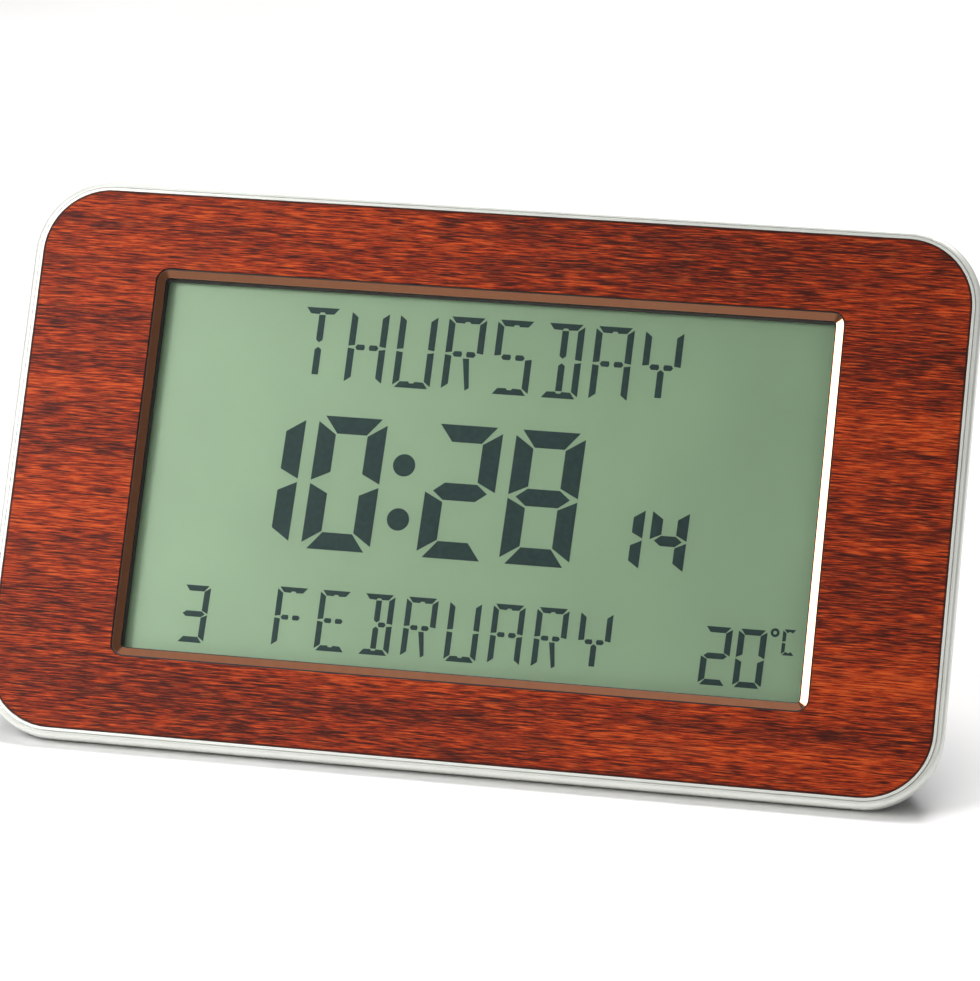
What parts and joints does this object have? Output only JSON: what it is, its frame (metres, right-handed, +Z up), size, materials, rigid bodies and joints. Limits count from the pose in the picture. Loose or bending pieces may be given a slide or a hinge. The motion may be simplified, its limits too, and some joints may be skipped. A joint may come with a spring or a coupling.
{
  "type": "desk clock with calendar",
  "caption": "Table clock with a leaning wood-look face, large LCD for time, date and temperature, rear buttons, battery door and fold-out stand.",
  "frame": {"origin": "on the table, under the middle of the bounding box of the clock as it stands on its feet with the stand open", "axes": "+X to the viewer's right along the face, +Y from the face towards the back, +Z up"},
  "size_m": [0.21, 0.0791, 0.1088],
  "materials": {
    "wood": "satin wood-grain film",
    "silver_frame": "silver paint, satin",
    "silver_ring": "bright silver",
    "clear_lens": "clear, glossy",
    "lcd_green": "grey-green, satin",
    "lcd_ink": "dark teal-grey",
    "reflector": "matt silver film",
    "black_plastic": "fine-textured",
    "door_plastic": "fine-textured",
    "button_plastic": "semi-gloss grey",
    "white_plastic": "moulded",
    "rubber": "matt",
    "zebra_rubber": "striped silicone",
    "circuit_board": "solder-masked",
    "epoxy": "glossy blob",
    "steel": "zinc-plated",
    "contact_metal": "nickel-plated",
    "smd": "ceramic",
    "ribbon": "flexible, satin",
    "cell_sleeve": "plain shrink sleeve",
    "red_wire": "PVC",
    "black_wire": "PVC"
  },
  "bodies": {
    "clock": {"wood_plate": "wood", "front_frame": "silver_frame", "window_ring": "silver_ring", "display_lens": "clear_lens", "lcd_digits": "lcd_ink", "lcd_front_glass": "lcd_green", "lcd_rear_glass": "lcd_green", "lcd_reflector": "reflector", "lcd_holder": "black_plastic", "holder_screws": "steel", "zebra_strip": "zebra_rubber", "main_board": "circuit_board", "controller_chip": "epoxy", "quartz_crystal": "steel", "smd_parts": "smd", "temperature_sensor": "epoxy", "board_screws": "steel", "ribbon_cable": "ribbon", "rear_housing": "black_plastic", "housing_screws": "steel", "rubber_feet": "rubber", "button_board": "circuit_board", "button_board_screws": "steel", "switch_bodies": "black_plastic", "upper_cell": "cell_sleeve", "lower_cell": "cell_sleeve", "battery_contacts": "contact_metal", "battery_springs": "steel", "plus_lead": "red_wire", "minus_lead": "black_wire", "stand_pin": "steel"},
    "mode_button": {"mode_button": "button_plastic", "mode_plunger": "white_plastic"},
    "set_button": {"set_button": "button_plastic", "set_plunger": "white_plastic"},
    "up_button": {"up_button": "button_plastic", "up_plunger": "white_plastic"},
    "down_button": {"down_button": "button_plastic", "down_plunger": "white_plastic"},
    "unit_button": {"unit_button": "button_plastic", "unit_plunger": "white_plastic"},
    "battery_door": {"battery_door": "door_plastic"},
    "stand": {"stand_leg": "black_plastic", "stand_pad": "rubber"}
  },
  "joints": [
    {"name": "mode_press", "type": "slide", "parent": "clock", "child": "mode_button", "axis": [0, -0.8572, 0.515], "range_m": [0, 0.0006], "stiffness_N_per_m": 900, "springref_m": -0.0004},
    {"name": "set_press", "type": "slide", "parent": "clock", "child": "set_button", "axis": [0, -0.8572, 0.515], "range_m": [0, 0.0006], "stiffness_N_per_m": 900, "springref_m": -0.0004},
    {"name": "up_press", "type": "slide", "parent": "clock", "child": "up_button", "axis": [0, -0.8572, 0.515], "range_m": [0, 0.0006], "stiffness_N_per_m": 900, "springref_m": -0.0004},
    {"name": "down_press", "type": "slide", "parent": "clock", "child": "down_button", "axis": [0, -0.8572, 0.515], "range_m": [0, 0.0006], "stiffness_N_per_m": 900, "springref_m": -0.0004},
    {"name": "unit_press", "type": "slide", "parent": "clock", "child": "unit_button", "axis": [0, -0.8572, 0.515], "range_m": [0, 0.0006], "stiffness_N_per_m": 900, "springref_m": -0.0004},
    {"name": "battery_door_slide", "type": "slide", "parent": "clock", "child": "battery_door", "axis": [1, 0, 0], "range_m": [0, 0.064]},
    {"name": "stand_hinge", "type": "hinge", "parent": "clock", "child": "stand", "pos_m": [0, 0.01703, 0.05234], "axis": [1, 0, 0], "range_deg": [-50, 0]}
  ]
}
